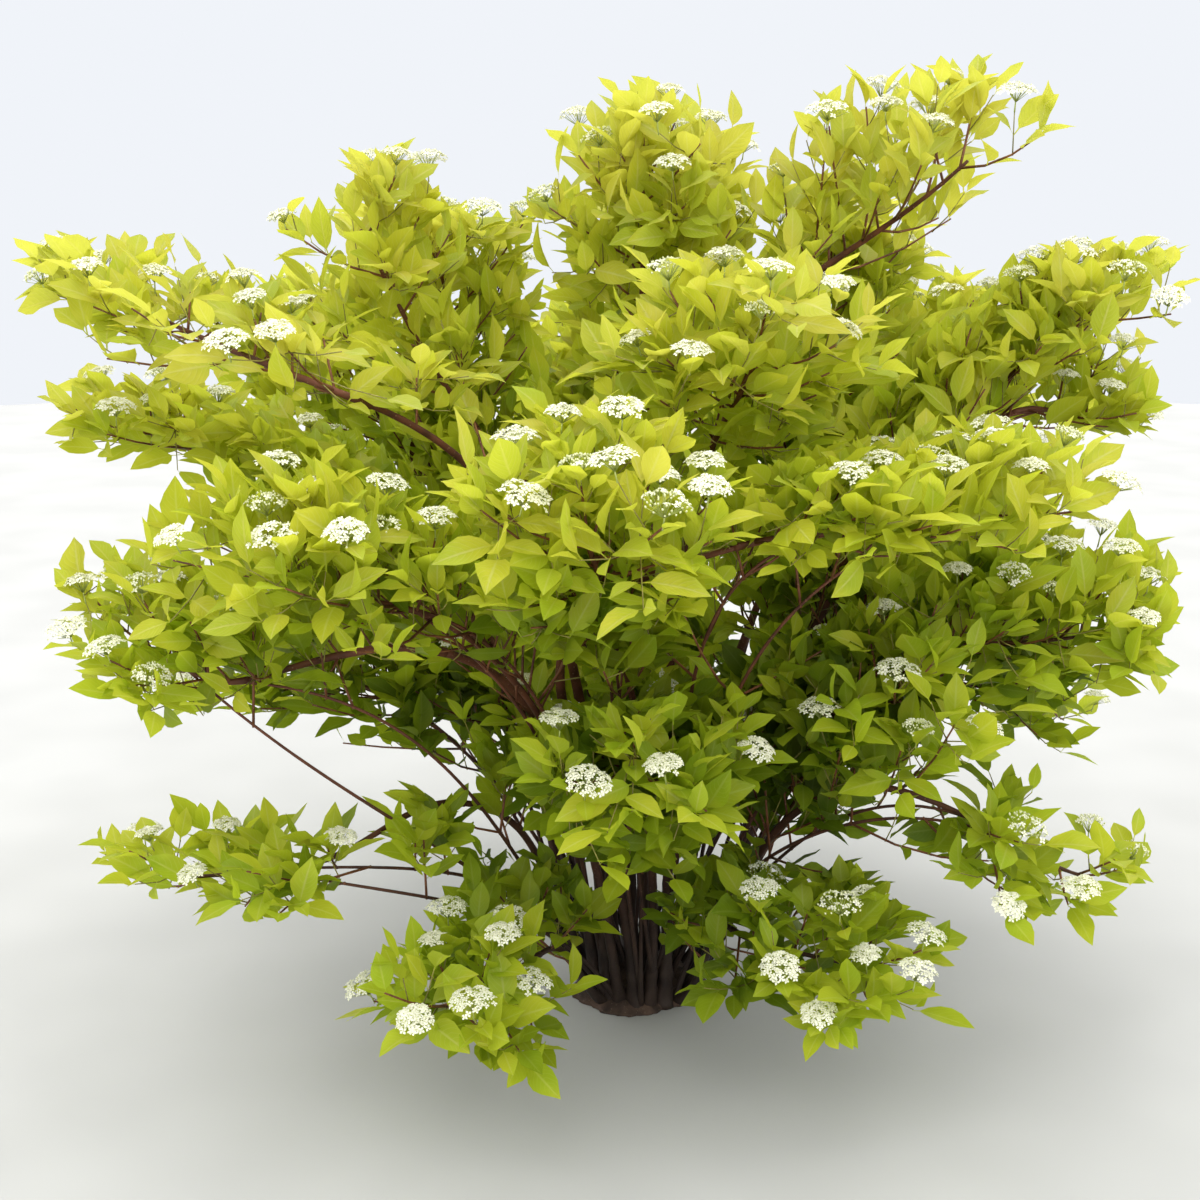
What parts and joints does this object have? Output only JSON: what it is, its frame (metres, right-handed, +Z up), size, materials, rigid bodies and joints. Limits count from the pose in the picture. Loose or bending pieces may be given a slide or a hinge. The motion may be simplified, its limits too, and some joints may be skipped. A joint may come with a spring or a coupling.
{
  "type": "golden-leaved red-barked dogwood shrub",
  "caption": "Broad rooted shrub of many arching stems from one flared foot, with masses of golden-lime leaves and flat cream flower heads.",
  "frame": {"origin": "middle of the flat cut under the foot, at ground level", "axes": "+Z up, -Y towards the side that is looked at, +X to the right from there"},
  "size_m": [1.7875, 1.6706, 1.558],
  "materials": {
    "bark": "smooth red-brown bark, satin",
    "old_bark": "rough dark brown bark, matt",
    "foliage": "soft golden-lime leaves with cream flower heads, satin"
  },
  "bodies": {
    "root": {"arm_cross": "bark", "arm_left": "bark", "arm_low_left": "bark", "arm_low_right": "bark", "bough_back_low_left": "bark", "bough_back_low_right": "bark", "bough_right_fork": "bark", "bough_right_low": "bark", "bough_right_mid": "bark", "foot": "old_bark", "leaves_back": "foliage", "leaves_back_left": "foliage", "leaves_back_low": "foliage", "leaves_back_low_left": "foliage", "leaves_back_low_right": "foliage", "leaves_back_right": "foliage", "leaves_foot_left": "foliage", "leaves_foot_right": "foliage", "leaves_front": "foliage", "leaves_front_high": "foliage", "leaves_front_left": "foliage", "leaves_front_low": "foliage", "leaves_front_right": "foliage", "leaves_left_arm": "foliage", "leaves_left_low": "foliage", "leaves_low_left": "foliage", "leaves_low_right": "foliage", "leaves_mid_left": "foliage", "leaves_right": "foliage", "leaves_right_back": "foliage", "leaves_right_fork": "foliage", "leaves_right_inner": "foliage", "leaves_right_low": "foliage", "leaves_right_mid": "foliage", "leaves_top_back": "foliage", "leaves_top_back_left": "foliage", "leaves_top_back_right": "foliage", "leaves_top_centre": "foliage", "leaves_top_left": "foliage", "leaves_upper_left": "foliage", "leaves_upper_right": "foliage", "stem_back": "bark", "stem_back_left": "bark", "stem_back_right": "bark", "stem_back_top": "bark", "stem_centre": "bark", "stem_cross": "bark", "stem_front": "bark", "stem_front_left": "bark", "stem_front_low_left": "bark", "stem_front_low_right": "bark", "stem_front_right": "bark", "stem_left": "bark", "stem_low_left": "bark", "stem_low_right": "bark", "stem_mid_left": "bark", "stem_right": "bark", "stem_top_left": "bark", "stem_upper_left": "bark", "stem_upper_right": "bark"}
  },
  "joints": []
}
